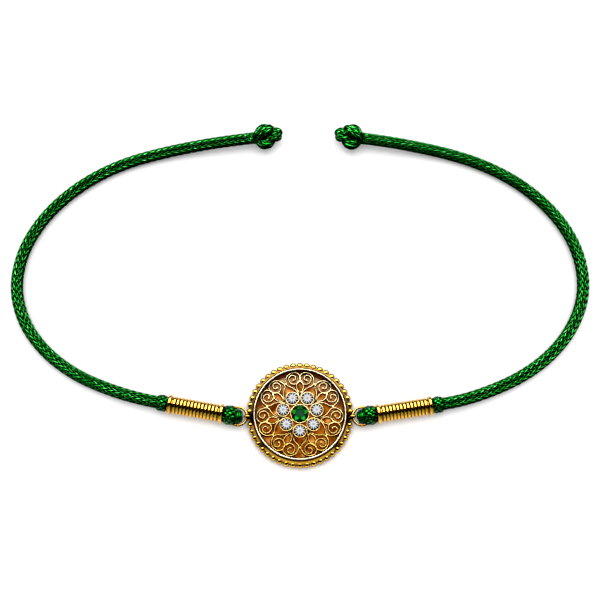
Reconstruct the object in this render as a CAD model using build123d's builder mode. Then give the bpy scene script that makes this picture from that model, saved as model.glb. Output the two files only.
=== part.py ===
"""A thread bracelet: a pierced gold medallion with cut stones, tied by two braided green cords.

The bracelet lies on a surface with its ties laid out. +Z is up, +X runs along the bracelet, +Y points
from the medallion to the ends of the ties, and the origin is under the medallion's centre, on the surface.
All lengths are in millimetres and all angles in degrees.
"""

import os
from math import cos, pi, radians, sin, tan

from build123d import *

os.makedirs("parts", exist_ok=True)

# Medallion rim, from its beads inward and from its ridge wire down: a shoulder rises from the beads to
# a crest, a groove parts the crest from the ridge wire, and a ledge inside it carries the filigree
medallion_radius = 10.2
bead_count = 46
bead_radius = 0.63
bead_sink = 0.07
bead_height = 1.05
rim_width = 1.4
ridge_inset = 0.85
ridge_wire = 0.25
ridge_top = 2.45
ridge_groove_width = 0.13
ridge_groove_depth = 0.3
crest_drop = 0.5
shoulder_drop = 0.95
ledge_drop = 0.45
base_bevel = 0.3
base_width = 0.95

# Filigree: each heart's arcs are shares of the opening that the hearts fill
heart_count = 7
filigree_wire = 0.26
filigree_drop = 0.6
filigree_depth = 1.3
heart_root = 0.354
heart_root_half_gap = 0.01
heart_flare = 0.315
heart_flare_turn = 75
heart_hip = 0.117
heart_rise = 0.032
scroll_arcs = (0.197, 0.14, 0.144, 0.126, 0.091, 0.07, 0.052)
cell_root = 0.5
cell_belly = 0.652
cell_half_width = 0.084
cell_tip = 0.827
side_joint = 0.796
top_joint = 0.858
scroll_ball = 0.18
solder_dot = 0.24

# Stones and their bezels
centre_stone_radius = 1.62
centre_stone_rise = 1.0
white_stone_radius = 1.09
white_stone_rise = 0.75
bezel_wall = 0.17
bezel_lip = 0.04
bezel_gap = 0.12
stone_clearance = 0.05
seat_share = 0.74
table_share = 0.55
crown_angle = 34
star_angle = 21
upper_girdle_angle = 42
pavilion_angle = 41
lower_girdle_angle = 43.5
girdle_share = 0.07
facet_count = 8

# Jump rings and the eyelets that carry them
eyelet_stand = 0.5
eyelet_radius = 0.52
eyelet_wire = 0.34
eyelet_foot = 0.55
jump_ring_radius = 1.75
jump_ring_wire = 0.5
jump_ring_slack = 0.05

# Arms: each runs outward from its start, on both sides of the medallion
arm_setback = 0.3
arm_offset = -0.42
left_arm_turn = 10.3
right_arm_turn = 9.0
nose_reach = 1.27
loop_thread = 2.3
ring_clearance = 0.12
inner_wrap_length = 2.35
inner_wrap_radius = 1.91
inner_wrap_end_radius = 1.5
wrap_gap = 0.1
bore_clearance = 0.06
sleeve_length = 10.75
sleeve_wall = 0.18
collar_length = 0.8
collar_radius = 1.88
collar_groove = 0.2
rib_count = 13
rib_radius = 1.7
outer_wrap_length = 1.65
outer_wrap_radius = 1.64
outer_wrap_end_radius = 1.42

# Cords and their end knots
cord_diameter = 2.4
first_run = 3.5
tangent_share = 0.45
knot_radius = 2.5
knot_wrap = 1.08
knot_core = 1.6
knot_middle = 2.25
knot_wrap_step = 0.4
knot_tilt = 27
stub_radius = 1.3
stub_reach = 5.75

# The ties' routes from the arms' ends, chosen point by point: x, y and z of the centre line
left_route = [
    (-36.9, 5.0, 1.35),
    (-43.4, 7.9, 1.2),
    (-49.3, 12.3, 1.2),
    (-53.8, 18.2, 1.2),
    (-55.9, 25.3, 1.2),
    (-55.0, 32.6, 1.2),
    (-51.8, 39.1, 1.2),
    (-47.1, 44.5, 1.2),
    (-41.4, 48.8, 1.2),
    (-34.9, 52.0, 1.2),
    (-28.0, 54.0, 1.3),
    (-20.9, 55.35, 1.85),
    (-14.8, 56.15, 2.4),
    (-9.5, 56.8, 2.5),
]
right_route = [
    (36.9, 4.7, 1.35),
    (43.2, 7.7, 1.2),
    (48.9, 12.0, 1.2),
    (53.3, 17.6, 1.2),
    (55.8, 24.3, 1.2),
    (55.5, 31.4, 1.2),
    (53.0, 37.9, 1.2),
    (48.7, 43.5, 1.2),
    (43.2, 48.1, 1.2),
    (36.9, 51.55, 1.2),
    (30.2, 53.85, 1.3),
    (23.6, 55.15, 1.85),
    (17.9, 56.05, 2.4),
    (13.0, 56.7, 2.5),
]

# Sizes that follow from the ones above
up = Vector(0, 0, 1)
first_heart = 90
first_gap = first_heart + 180 / heart_count
bead_circle = medallion_radius - bead_radius
rim_outer_radius = bead_circle - bead_sink
ridge_radius = rim_outer_radius - ridge_inset
opening_radius = rim_outer_radius - rim_width
crest_radius = ridge_radius + ridge_wire + ridge_groove_width
crest_height = ridge_top - crest_drop
shoulder_height = ridge_top - shoulder_drop
filigree_top = ridge_top - filigree_drop
ledge_height = filigree_top - ledge_drop
filigree_bottom = filigree_top - filigree_depth
centre_bezel_radius = centre_stone_radius + stone_clearance + bezel_wall
white_bezel_radius = white_stone_radius + stone_clearance + bezel_wall
white_stone_circle = centre_bezel_radius + bezel_gap + white_bezel_radius
centre_stone_top = filigree_top + centre_stone_rise
white_stone_top = filigree_top + white_stone_rise
eyelet_centre = rim_outer_radius + eyelet_stand
jump_ring_centre = eyelet_centre + jump_ring_slack + jump_ring_radius
arm_start = jump_ring_centre + arm_setback
arm_height = inner_wrap_radius
shank_radius = loop_thread / 2
bore_radius = shank_radius + bore_clearance
sleeve_start = inner_wrap_length + wrap_gap
outer_wrap_start = sleeve_start + sleeve_length + wrap_gap
arm_length = outer_wrap_start + outer_wrap_length + wrap_gap


def rim_outline():
    """Half section of the rim in the X-Z plane, from the base round the ridge wire to the opening."""
    ridge_side = ridge_top - ridge_wire
    base_outer = rim_outer_radius - base_bevel
    with BuildLine() as outline:
        Polyline(
            (base_outer - base_width, 0),
            (base_outer, 0),
            (rim_outer_radius, base_bevel),
            (rim_outer_radius, shoulder_height),
            (crest_radius, crest_height),
            (ridge_radius + ridge_wire, crest_height - ridge_groove_depth),
            (ridge_radius + ridge_wire, ridge_side),
        )
        ThreePointArc(
            (ridge_radius + ridge_wire, ridge_side),
            (ridge_radius, ridge_top),
            (ridge_radius - ridge_wire, ridge_side),
        )
        Polyline(
            (ridge_radius - ridge_wire, ridge_side),
            (ridge_radius - ridge_wire, ledge_height),
            (opening_radius, ledge_height),
            (opening_radius, base_bevel),
            (base_outer - base_width, 0),
        )
    return outline.line


def heart():
    """One filigree heart on the +Y axis: two mirrored scrolls round a pointed cell, as flat strips."""
    size = opening_radius
    with BuildSketch() as shape:
        with BuildLine():
            root = (heart_root_half_gap * size, heart_root * size)
            flare = JernArc(root, (0, 1), heart_flare * size, -heart_flare_turn)
            hip = JernArc(flare @ 1, flare % 1, heart_hip * size, heart_flare_turn)
            coil = Line(hip @ 1, (hip @ 1) + (hip % 1) * heart_rise * size)
            for arc in scroll_arcs:
                coil = JernArc(coil @ 1, coil % 1, arc * size, 90)
        trace(line_width=filigree_wire)
        with Locations(coil @ 1):
            Circle(scroll_ball)
        with BuildLine():
            belly = (cell_half_width * size, cell_belly * size)
            ThreePointArc((0, cell_tip * size), belly, (0, cell_root * size))
        trace(line_width=filigree_wire)
        mirror(about=Plane.YZ)
        with Locations((0, heart_root * size), (0, top_joint * size)):
            Circle(solder_dot)
    return shape.sketch


def girdle_levels(radius, top):
    """Heights of a stone's upper and lower girdle edge, for its radius and the height of its table."""
    upper = top - radius * (1 - table_share) * tan(radians(crown_angle))
    return upper, upper - radius * girdle_share


def cut_stone(radius, top):
    """A round brilliant on the Z axis, its table at the height top."""
    girdle_top, girdle_bottom = girdle_levels(radius, top)
    pavilion = radius * tan(radians(pavilion_angle))
    half_step = 180 / facet_count
    quarter_step = half_step / 2
    crown_rows = (
        (facet_count, 0, crown_angle, radius, girdle_top),
        (facet_count, half_step, star_angle, radius * table_share * cos(radians(half_step)), top),
        (2 * facet_count, quarter_step, upper_girdle_angle, radius, girdle_top),
    )
    pavilion_rows = (
        (facet_count, 0, pavilion_angle, radius, girdle_bottom),
        (2 * facet_count, quarter_step, lower_girdle_angle, radius, girdle_bottom),
    )
    with BuildPart() as stone:
        with Locations((0, 0, girdle_bottom - pavilion)):
            height = top - girdle_bottom + pavilion
            Cylinder(radius, height, align=(Align.CENTER, Align.CENTER, Align.MIN))
        for side, rows in ((1, crown_rows), (-1, pavilion_rows)):
            for count, first, slope, reach, level in rows:
                for index in range(count):
                    angle = radians(first + index * 360 / count)
                    outward = sin(radians(slope))
                    facing = (outward * cos(angle), outward * sin(angle), side * cos(radians(slope)))
                    foot = (reach * cos(angle), reach * sin(angle), level)
                    split(bisect_by=Plane(origin=foot, z_dir=facing), keep=Keep.BOTTOM)
    return stone.part


def seat_level(radius, top):
    """Height of the ledge that a stone's pavilion rests over, just clear of it."""
    reach_in = radius * (1 - seat_share) + stone_clearance
    return girdle_levels(radius, top)[1] - reach_in * tan(radians(lower_girdle_angle))


def stone_places():
    """Centres of the white stones, each between two hearts, the first straight towards -Y."""
    step = 360 / heart_count
    angles = [radians(index * step - first_heart) for index in range(heart_count)]
    return [(white_stone_circle * cos(angle), white_stone_circle * sin(angle)) for angle in angles]


def arm_frame(side):
    """Plane at the arm's start with X outward along the arm and Z level, for side -1 or 1."""
    turn = radians(right_arm_turn if side > 0 else left_arm_turn)
    outward = Vector(side * cos(turn), sin(turn), 0)
    return Plane(origin=(side * arm_start, arm_offset, arm_height), x_dir=outward, z_dir=outward.cross(up))


def arm_point(side, distance):
    """A point on the arm's centre line, that far from its start."""
    frame = arm_frame(side)
    return frame.origin + frame.x_dir * distance


def loop_outline():
    """Half section of a thread loop: its rounded nose, then the thread that runs through the sleeve."""
    dome_end = shank_radius - nose_reach
    dome_middle = (dome_end - shank_radius * cos(radians(45)), shank_radius * sin(radians(45)))
    with BuildLine() as outline:
        ThreePointArc((-nose_reach, 0), dome_middle, (dome_end, shank_radius))
        Polyline((dome_end, shank_radius), (arm_length, shank_radius), (arm_length, 0), (-nose_reach, 0))
    return outline.line


def barrel_outline(start, length, radius, end_radius):
    """Half section of a hollow whipping: fullest in the middle, rounded in at both ends."""
    with BuildLine() as outline:
        ThreePointArc((start, end_radius), (start + length / 2, radius), (start + length, end_radius))
        Polyline(
            (start + length, end_radius),
            (start + length, bore_radius),
            (start, bore_radius),
            (start, end_radius),
        )
    return outline.line


def sleeve_outline():
    """Half section of a sleeve: a plain bore, and outside a collar, the ribs and the other collar."""
    valley = bore_radius + sleeve_wall
    collar_side = collar_radius - collar_length / 2
    end = sleeve_start + sleeve_length
    ribs_start = sleeve_start + collar_length + collar_groove
    pitch = (sleeve_length - 2 * (collar_length + collar_groove)) / rib_count
    with BuildLine() as outline:
        Line((sleeve_start, bore_radius), (sleeve_start, collar_side))
        ThreePointArc(
            (sleeve_start, collar_side),
            (sleeve_start + collar_length / 2, collar_radius),
            (sleeve_start + collar_length, collar_side),
        )
        Polyline(
            (sleeve_start + collar_length, collar_side),
            (sleeve_start + collar_length, valley),
            (ribs_start, valley),
        )
        for index in range(rib_count):
            first = ribs_start + index * pitch
            ThreePointArc((first, valley), (first + pitch / 2, rib_radius), (first + pitch, valley))
        Polyline(
            (ribs_start + rib_count * pitch, valley),
            (end - collar_length, valley),
            (end - collar_length, collar_side),
        )
        ThreePointArc(
            (end - collar_length, collar_side),
            (end - collar_length / 2, collar_radius),
            (end, collar_side),
        )
        Polyline((end, collar_side), (end, bore_radius), (sleeve_start, bore_radius))
    return outline.line


def turned(frame, outline):
    """The solid made by turning a half section round the frame's X axis."""
    with BuildPart() as solid:
        with BuildSketch(frame):
            with BuildLine():
                add(outline)
            make_face()
        revolve(axis=Axis(frame.origin, frame.x_dir))
    return solid.part


def ring_tunnel(side):
    """The way that a jump ring takes through the thread, with its clearance."""
    centre = (side * jump_ring_centre, arm_offset, arm_height)
    with BuildPart() as tunnel:
        with Locations(centre):
            Torus(jump_ring_radius, jump_ring_wire / 2 + ring_clearance)
    return tunnel.part


def corner_radii(points):
    """An arc for each corner of a route: its tangents take a set share of the shorter run."""
    radii = []
    for before, corner, after in zip(points, points[1:], points[2:]):
        run_in = corner - before
        run_out = after - corner
        half_turn = radians(run_in.get_angle(run_out) / 2)
        radii.append(tangent_share * min(run_in.length, run_out.length) / tan(half_turn))
    return radii


def tie_points(side):
    """A tie's whole route: straight out of its arm first, then the chosen points."""
    chosen = right_route if side > 0 else left_route
    leaving = [arm_point(side, arm_length), arm_point(side, arm_length + first_run)]
    return leaving + [Vector(*point) for point in chosen]


def knot_section(frame, distance, direction):
    """Plane square to a direction in the knot's own frame, on its centre line."""
    centre = frame.origin + frame.x_dir * distance
    facing = frame.x_dir * direction[0] + frame.y_dir * direction[1] + frame.z_dir * direction[2]
    return Plane(origin=centre, z_dir=facing)


# Medallion
heart_shape = heart()
bezels = (
    (centre_stone_radius, centre_stone_top, [(0, 0)]),
    (white_stone_radius, white_stone_top, stone_places()),
)
with BuildPart() as medallion:
    with BuildSketch(Plane.XZ):
        with BuildLine():
            add(rim_outline())
        make_face()
    revolve(axis=Axis.Z)
    with Locations((0, 0, bead_height)):
        with PolarLocations(bead_circle, bead_count, start_angle=first_heart):
            Sphere(bead_radius)
    with BuildSketch(Plane.XY.offset(filigree_bottom)):
        with PolarLocations(0, heart_count):
            add(heart_shape)
        with PolarLocations(side_joint * opening_radius, heart_count, start_angle=first_gap):
            Circle(solder_dot)
        with PolarLocations(centre_bezel_radius + bezel_gap / 2, heart_count, start_angle=first_gap):
            Circle(solder_dot)
    extrude(amount=filigree_depth)
    for radius, top, places in bezels:
        with BuildSketch(Plane.XY.offset(filigree_bottom)):
            with Locations(*places):
                Circle(radius + stone_clearance + bezel_wall)
        extrude(amount=girdle_levels(radius, top)[0] + bezel_lip - filigree_bottom)
    for radius, top, places in bezels:
        with BuildSketch(Plane.XY.offset(top)):
            with Locations(*places):
                Circle(radius + stone_clearance)
        extrude(amount=seat_level(radius, top) - top, mode=Mode.SUBTRACT)
        with BuildSketch(Plane.XY.offset(top)):
            with Locations(*places):
                Circle(radius * seat_share)
        extrude(amount=-top, mode=Mode.SUBTRACT)
    for side in (-1, 1):
        with Locations(Location((side * eyelet_centre, arm_offset, arm_height), (90, 0, 0))):
            Torus(eyelet_radius, eyelet_wire / 2)
        foot_middle = eyelet_centre - eyelet_radius - eyelet_foot / 2
        with Locations(Location((side * foot_middle, arm_offset, shoulder_height), (0, 90, 0))):
            Cylinder(eyelet_wire / 2, eyelet_foot)
medallion.part.label = "medallion"
export_step(medallion.part, "parts/medallion.step")

# Stones
with BuildPart() as centre_stone:
    add(cut_stone(centre_stone_radius, centre_stone_top))
centre_stone.part.label = "centre_stone"
export_step(centre_stone.part, "parts/centre_stone.step")

white_cut = cut_stone(white_stone_radius, white_stone_top)
for number, place in enumerate(stone_places(), start=1):
    with BuildPart() as white_stone:
        with Locations(place):
            add(white_cut)
    white_stone.part.label = f"white_stone_{number}"
    export_step(white_stone.part, f"parts/white_stone_{number}.step")

# Arms
for name, side in (("left", -1), ("right", 1)):
    frame = arm_frame(side)
    tunnel = ring_tunnel(side)

    with BuildPart() as jump_ring:
        with Locations((side * jump_ring_centre, arm_offset, arm_height)):
            Torus(jump_ring_radius, jump_ring_wire / 2)
    jump_ring.part.label = f"{name}_jump_ring"
    export_step(jump_ring.part, f"parts/{name}_jump_ring.step")

    with BuildPart() as thread_loop:
        add(turned(frame, loop_outline()))
        add(tunnel, mode=Mode.SUBTRACT)
    thread_loop.part.label = f"{name}_thread_loop"
    export_step(thread_loop.part, f"parts/{name}_thread_loop.step")

    with BuildPart() as inner_wrap:
        add(turned(frame, barrel_outline(0, inner_wrap_length, inner_wrap_radius, inner_wrap_end_radius)))
        add(tunnel, mode=Mode.SUBTRACT)
    inner_wrap.part.label = f"{name}_inner_wrap"
    export_step(inner_wrap.part, f"parts/{name}_inner_wrap.step")

    with BuildPart() as sleeve:
        add(turned(frame, sleeve_outline()))
    sleeve.part.label = f"{name}_sleeve"
    export_step(sleeve.part, f"parts/{name}_sleeve.step")

    with BuildPart() as outer_wrap:
        wrap_radii = (outer_wrap_radius, outer_wrap_end_radius)
        add(turned(frame, barrel_outline(outer_wrap_start, outer_wrap_length, *wrap_radii)))
    outer_wrap.part.label = f"{name}_outer_wrap"
    export_step(outer_wrap.part, f"parts/{name}_outer_wrap.step")

# Ties
for name, side in (("left", -1), ("right", 1)):
    points = tie_points(side)
    radii = corner_radii(points)
    with BuildPart() as cord:
        with BuildLine() as path:
            FilletPolyline(*points, radius=radii)
        with BuildSketch(Plane(origin=path.line @ 0, z_dir=path.line % 0)):
            Circle(cord_diameter / 2)
        sweep()
    cord.part.label = f"{name}_cord"
    export_step(cord.part, f"parts/{name}_cord.step")
    length = path.wire().length
    expected = pi * cord_diameter**2 / 4 * length
    print(name, "tie length", round(length, 2), "radii", [round(radius, 1) for radius in radii])
    print(name, "tie volume over section times length", round(cord.part.volume / expected, 4))

    last_run = (points[-1] - points[-2]).normalized()
    frame = Plane(origin=points[-1], x_dir=last_run, z_dir=last_run.cross(up))
    lean = radians(knot_tilt)
    with BuildPart() as end_knot:
        with BuildSketch(knot_section(frame, 0, (1, 0, 0))):
            Circle(cord_diameter / 2)
        extrude(amount=knot_middle)
        with BuildSketch(knot_section(frame, knot_middle, (1, 0, 0))):
            Circle(stub_radius)
        extrude(amount=stub_reach - stub_radius - knot_middle)
        with Locations(frame.origin + frame.x_dir * (stub_reach - stub_radius)):
            Sphere(stub_radius)
        with Locations(frame.origin + frame.x_dir * knot_middle):
            Sphere(knot_core)
        with Locations(knot_section(frame, knot_middle - knot_wrap_step, (cos(lean), 0, sin(lean)))):
            Torus(knot_radius - knot_wrap, knot_wrap)
        with Locations(knot_section(frame, knot_middle + knot_wrap_step, (cos(lean), sin(lean), 0))):
            Torus(knot_radius - knot_wrap, knot_wrap)
    end_knot.part.label = f"{name}_end_knot"
    export_step(end_knot.part, f"parts/{name}_end_knot.step")
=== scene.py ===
"""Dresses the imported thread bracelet: braided cord ties, wound thread, polished gold and cut stones.

Everything is in metres in the model's own frame: +Z up, +X along the bracelet, the ties towards +Y.
Where a measure is in millimetres instead, a comment says so.
"""

import math

import bpy
import numpy as np
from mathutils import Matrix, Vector


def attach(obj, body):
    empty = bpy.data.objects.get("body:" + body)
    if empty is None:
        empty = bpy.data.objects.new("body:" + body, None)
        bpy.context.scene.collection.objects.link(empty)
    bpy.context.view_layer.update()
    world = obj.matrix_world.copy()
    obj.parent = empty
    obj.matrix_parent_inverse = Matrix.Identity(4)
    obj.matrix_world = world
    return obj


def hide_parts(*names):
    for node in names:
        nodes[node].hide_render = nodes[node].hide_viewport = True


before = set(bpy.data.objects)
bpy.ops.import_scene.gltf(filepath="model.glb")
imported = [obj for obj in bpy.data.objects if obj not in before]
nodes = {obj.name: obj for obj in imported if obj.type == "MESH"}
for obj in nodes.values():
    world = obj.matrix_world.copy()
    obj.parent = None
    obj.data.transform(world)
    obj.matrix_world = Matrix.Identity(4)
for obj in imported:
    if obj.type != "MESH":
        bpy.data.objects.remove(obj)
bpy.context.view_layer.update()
SIDES = ("left", "right")
MM = 0.001

# The ties' routes as in the CAD source: their control points in metres, from the arms outward
ROUTES = {
    "left": [
        (-0.026907, 0.002271, 0.00191),
        (-0.030351, 0.002897, 0.00191),
        (-0.0369, 0.0050, 0.00135),
        (-0.0434, 0.0079, 0.0012),
        (-0.0493, 0.0123, 0.0012),
        (-0.0538, 0.0182, 0.0012),
        (-0.0559, 0.0253, 0.0012),
        (-0.0550, 0.0326, 0.0012),
        (-0.0518, 0.0391, 0.0012),
        (-0.0471, 0.0445, 0.0012),
        (-0.0414, 0.0488, 0.0012),
        (-0.0349, 0.0520, 0.0012),
        (-0.0280, 0.0540, 0.0013),
        (-0.0209, 0.05535, 0.00185),
        (-0.0148, 0.05615, 0.0024),
        (-0.0095, 0.0568, 0.0025),
    ],
    "right": [
        (0.026965, 0.001934, 0.00191),
        (0.030422, 0.002482, 0.00191),
        (0.0369, 0.0047, 0.00135),
        (0.0432, 0.0077, 0.0012),
        (0.0489, 0.0120, 0.0012),
        (0.0533, 0.0176, 0.0012),
        (0.0558, 0.0243, 0.0012),
        (0.0555, 0.0314, 0.0012),
        (0.0530, 0.0379, 0.0012),
        (0.0487, 0.0435, 0.0012),
        (0.0432, 0.0481, 0.0012),
        (0.0369, 0.05155, 0.0012),
        (0.0302, 0.05385, 0.0013),
        (0.0236, 0.05515, 0.00185),
        (0.0179, 0.05605, 0.0024),
        (0.0130, 0.0567, 0.0025),
    ],
}
CORD_DIAMETER = 0.0024

# The medallion as in the CAD source (mm): seven hearts of filigree fill its opening, and seven clear
# stones stand round the green one
HEARTS = 7
OPENING = 8.1
FILIGREE_TOP = 1.85
RIDGE = 8.65
RIDGE_TOP = 2.45
STONE_RING = 3.27
CLEAR_RADIUS = 1.09
GREEN_RADIUS = 1.62
STONE_CLEARANCE = 0.05

# The filigree's wires as in the CAD source, in shares of the opening
HEART_ROOT = 0.354
HEART_HALF_GAP = 0.01
HEART_FLARE = 0.315
HEART_FLARE_TURN = 75
HEART_HIP = 0.117
HEART_RISE = 0.032
SCROLL_ARCS = (0.197, 0.14, 0.144, 0.126, 0.091, 0.07, 0.052)
CELL_ROOT = 0.5
CELL_TIP = 0.827
SIDE_JOINT = 0.796
TOP_JOINT = 0.858
# The control point that a cell's side bows towards, in the same shares
CELL_BELLY = (0.165, 0.664)

# The arms as in the CAD source (mm and degrees): each runs outward from its start
ARM_START = 12.1
ARM_OFFSET = -0.42
ARM_HEIGHT = 1.91
ARM_TURN = {"left": 10.3, "right": 9.0}
ARM_LENGTH = 15.05
NOSE_REACH = 1.27

# Geometry helpers


def unit(v):
    v = np.asarray(v, float)
    return v / np.maximum(np.linalg.norm(v, axis=-1, keepdims=True), 1e-12)


def spline_line(name, points):
    """The line of a NURBS spline through control points, as Blender evaluates it."""
    data = bpy.data.curves.new(name, "CURVE")
    data.dimensions = "3D"
    data.resolution_u = 12
    spline = data.splines.new("NURBS")
    spline.points.add(len(points) - 1)
    for point, co in zip(spline.points, points):
        point.co = (*co, 1.0)
    spline.order_u = 3
    spline.use_endpoint_u = True
    holder = bpy.data.objects.new(name, data)
    mesh = bpy.data.meshes.new_from_object(holder)
    line = np.array([v.co for v in mesh.vertices], float)
    bpy.data.meshes.remove(mesh)
    bpy.data.objects.remove(holder)
    bpy.data.curves.remove(data)
    return line


def distances(line):
    """The distance of each point along a line."""
    return np.concatenate([[0], np.cumsum(np.linalg.norm(np.diff(line, axis=0), axis=1))])


def evenly(line, step):
    """A line again, with points a step apart, and the distance of each along it."""
    along = distances(line)
    count = max(2, round(along[-1] / step) + 1)
    at = np.linspace(0, along[-1], count)
    return np.stack([np.interp(at, along, line[:, k]) for k in range(3)], axis=1), at


def carried_frames(line):
    """Tangents, and normals and binormals that turn as little as they can; the first normal is up."""
    tangents = unit(np.gradient(line, axis=0))
    normals = np.zeros_like(line)
    normal = np.array([0.0, 0.0, 1.0])
    for i, t in enumerate(tangents):
        normal = unit(normal - t * (normal @ t))
        normals[i] = normal
    return tangents, normals, np.cross(tangents, normals)


def rings_round(line, first, second, radius, sides):
    """A ring of points round each point of a line, in the plane of its two directions there."""
    turn = np.linspace(0, 2 * math.pi, sides, endpoint=False)[None, :, None]
    radius = np.broadcast_to(radius, len(line))[:, None, None]
    return line[:, None] + radius * (np.cos(turn) * first[:, None] + np.sin(turn) * second[:, None])


class Pile:
    """Collects the vertices, faces and UVs of several shapes into one mesh."""

    def __init__(self):
        self.points, self.faces, self.uvs, self.raised = [], [], [], []
        self.count = 0

    def add(self, points, faces, uvs=None, raised=None):
        """faces index into points; uvs has one pair per point, and raised one number.

        raised runs from 0 to 1 and sets painted shade on thread: 0 where a point lies under or on a bare
        core, and 1 where it lies on top; braids also lower it on their flanks.
        """
        points = np.asarray(points, float)
        self.raised.append(np.zeros(len(points)) if raised is None else np.ravel(raised))
        self.faces += [tuple(int(i) + self.count for i in f) for f in faces]
        self.points.append(points)
        self.uvs.append(np.zeros((len(points), 2)) if uvs is None else np.asarray(uvs, float))
        self.count += len(points)

    def tube(self, rings, uv_rings=None, capped=True, raised=0.0):
        """rings is (stations, section points, 3): a closed section carried along a line."""
        stations, around = rings.shape[:2]
        i, j = np.meshgrid(np.arange(stations - 1), np.arange(around), indexing="ij")
        k = (j + 1) % around
        corners = [i * around + j, i * around + k, (i + 1) * around + k, (i + 1) * around + j]
        faces = [tuple(quad) for quad in np.stack(corners, -1).reshape(-1, 4)]
        if capped:
            faces.append(tuple(range(around))[::-1])
            faces.append(tuple((stations - 1) * around + m for m in range(around)))
        uvs = None if uv_rings is None else uv_rings.reshape(-1, 2)
        self.add(rings.reshape(-1, 3), faces, uvs, np.full(stations * around, raised))

    def strip(self, rings, uv_rings, raised):
        """An open section carried along a line, for a strand whose underside is never seen."""
        stations, across = rings.shape[:2]
        i, j = np.meshgrid(np.arange(stations - 1), np.arange(across - 1), indexing="ij")
        corners = [i * across + j, i * across + j + 1, (i + 1) * across + j + 1, (i + 1) * across + j]
        faces = np.stack(corners, -1).reshape(-1, 4)
        self.add(rings.reshape(-1, 3), faces, uv_rings.reshape(-1, 2), np.repeat(raised, across))

    def object(self, name, material):
        """The mesh object, smooth all over."""
        mesh = bpy.data.meshes.new(name)
        mesh.from_pydata(np.concatenate(self.points).tolist(), [], self.faces)
        layer = mesh.uv_layers.new(name="UVMap")
        corner = np.zeros(len(mesh.loops), np.int32)
        mesh.loops.foreach_get("vertex_index", corner)
        layer.data.foreach_set("uv", np.concatenate(self.uvs)[corner].astype(np.float32).ravel())
        raised = mesh.attributes.new("raised", "FLOAT", "POINT")
        raised.data.foreach_set("value", np.concatenate(self.raised).astype(np.float32))
        mesh.polygons.foreach_set("use_smooth", np.full(len(mesh.polygons), True))
        mesh.materials.append(material)
        mesh.update()
        made = bpy.data.objects.new(name, mesh)
        bpy.context.scene.collection.objects.link(made)
        return made


def round_tube(pile, line, radius, sides=10, capped=True, raised=0.0, flat=1.0):
    """A round tube along a line; radius is one number or one per point, and flat squeezes its height."""
    _, normals, binormals = carried_frames(line)
    uv = np.zeros((len(line), sides, 2))
    uv[..., 0] = np.linspace(0, 1, sides, endpoint=False)
    uv[..., 1] = distances(line)[:, None] / MM
    pile.tube(rings_round(line, flat * normals, binormals, radius, sides), uv, capped, raised)


# A strand's section, in shares of its width and its thickness
STRAND_SECTION = [(-0.5, -0.4), (-0.37, 0.12), (0.0, 0.5), (0.37, 0.12), (0.5, -0.4)]
# A strand's middle lies this far under the braid's outside, and rises or dips this far, in thicknesses
STRAND_DEPTH = 0.72
STRAND_LIFT = 0.22
# A strand is no thicker than this share of the braid's radius
THICKEST_STRAND = 0.3
# Over 1, so that a strand stays on top or under for a while between its crossings
CROSSING_SHARPNESS = 1.25
# A braid's flanks lie in the shade: what light a strand gets, by the Z of the direction that it faces
FLANK_DIRECTIONS = (0.2, 0.7)
FLANK_LIGHT = (0.82, 1.0)
# The step in u from one strand to the next, so that each has streaks of its own
STRAND_STEP = 3.0


def braid(pile, line, along, radius, carriers, lay, thickness, cover=1.0, over=2, level=1.0):
    """A tubular braid round a line: carriers strands each way, each over and under `over` others.

    radius is the braid's outside radius, one number or one per point, lay the length of a full turn,
    cover a strand's width as a share of the room that it has, and level how far the strands stand out
    of the painted shade, 1 where they lie on top.
    """
    tangents, normals, binormals = carried_frames(line)
    radius = np.broadcast_to(radius, len(line))
    thickness = np.minimum(thickness, THICKEST_STRAND * radius)
    middle = radius - STRAND_DEPTH * thickness
    slope = np.arctan(2 * math.pi * middle / lay)
    width = 2 * math.pi * middle / carriers * np.cos(slope) * cover
    for way in (1, -1):
        for index in range(carriers):
            angle = way * (2 * math.pi * along / lay) + 2 * math.pi * index / carriers
            phase = 2 * index + way * 2 * carriers * along / lay - (over - 1) / 2
            raised = np.clip(CROSSING_SHARPNESS * way * np.cos(math.pi * phase / over), -1, 1)
            outward = np.cos(angle)[:, None] * normals + np.sin(angle)[:, None] * binormals
            round_way = -np.sin(angle)[:, None] * normals + np.cos(angle)[:, None] * binormals
            across = np.cos(slope)[:, None] * round_way - way * np.sin(slope)[:, None] * tangents
            centre = line + (middle + raised * STRAND_LIFT * thickness)[:, None] * outward
            rings = np.stack(
                [
                    centre + (u * width)[:, None] * across + (v * thickness)[:, None] * outward
                    for u, v in STRAND_SECTION
                ],
                axis=1,
            )
            uv = np.zeros((len(line), len(STRAND_SECTION), 2))
            uv[..., 0] = np.array([u + 0.5 for u, _ in STRAND_SECTION]) + index * STRAND_STEP
            uv[..., 1] = (along / MM)[:, None]
            light = np.interp(outward[:, 2], FLANK_DIRECTIONS, FLANK_LIGHT)
            # Painted shade for the thread: darker where a strand dips under, on the flanks and by level
            pile.strip(rings, uv, level * (0.5 + 0.5 * raised) * light)


# Material helpers


def grey(value):
    return (value, value, value)


def opaque(colour):
    """A colour as a socket takes it, with its alpha."""
    return (*colour, 1.0)


def principled(name, **values):
    """A node material, its Principled BSDF and its node tree."""
    material = bpy.data.materials.new(name)
    material.use_nodes = True
    tree = material.node_tree
    shader = tree.nodes["Principled BSDF"]
    for key, value in values.items():
        shader.inputs[key.replace("_", " ")].default_value = value
    return material, shader, tree


def node(tree, kind, inputs=None, **settings):
    """A new node with its settings, whose inputs are linked to sockets or set to values."""
    made = tree.nodes.new(kind)
    for key, value in settings.items():
        setattr(made, key, value)
    for key, value in (inputs or {}).items():
        if isinstance(value, bpy.types.NodeSocket):
            tree.links.new(value, made.inputs[key])
        else:
            made.inputs[key].default_value = value
    return made


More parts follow.
